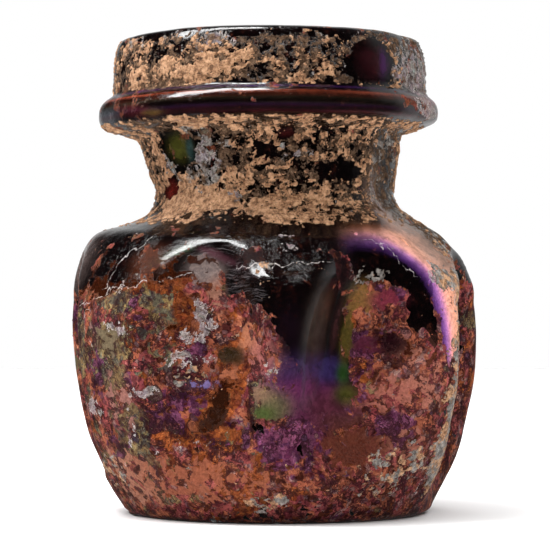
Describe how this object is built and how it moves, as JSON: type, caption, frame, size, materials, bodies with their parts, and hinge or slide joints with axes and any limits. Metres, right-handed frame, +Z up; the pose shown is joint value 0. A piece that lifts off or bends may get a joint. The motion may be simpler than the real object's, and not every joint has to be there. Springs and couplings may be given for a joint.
{
  "type": "dimpled glass jar",
  "caption": "Small ancient blown glass jar with a tall collar rim, a tubular flange, a short neck and a lobed body of pressed-in dimples, hollow and open at the top.",
  "frame": {"origin": "centre of the jar's box at the level of the standing ring, on the surface it stands on", "axes": "+Z up along the jar's axis, -Y towards the front of the picture, +X to its right"},
  "size_m": [0.0696, 0.0676, 0.08],
  "materials": {
    "weathered_glass": "dark aubergine glass, glossy where bare, with an iridescent film of purple, green, blue and gold and a copper-brown patina",
    "burial_crust": "matt peach-tan burial earth and grey-black crust, thin and broken, rough"
  },
  "bodies": {
    "root": {"jar": "weathered_glass"}
  },
  "joints": []
}
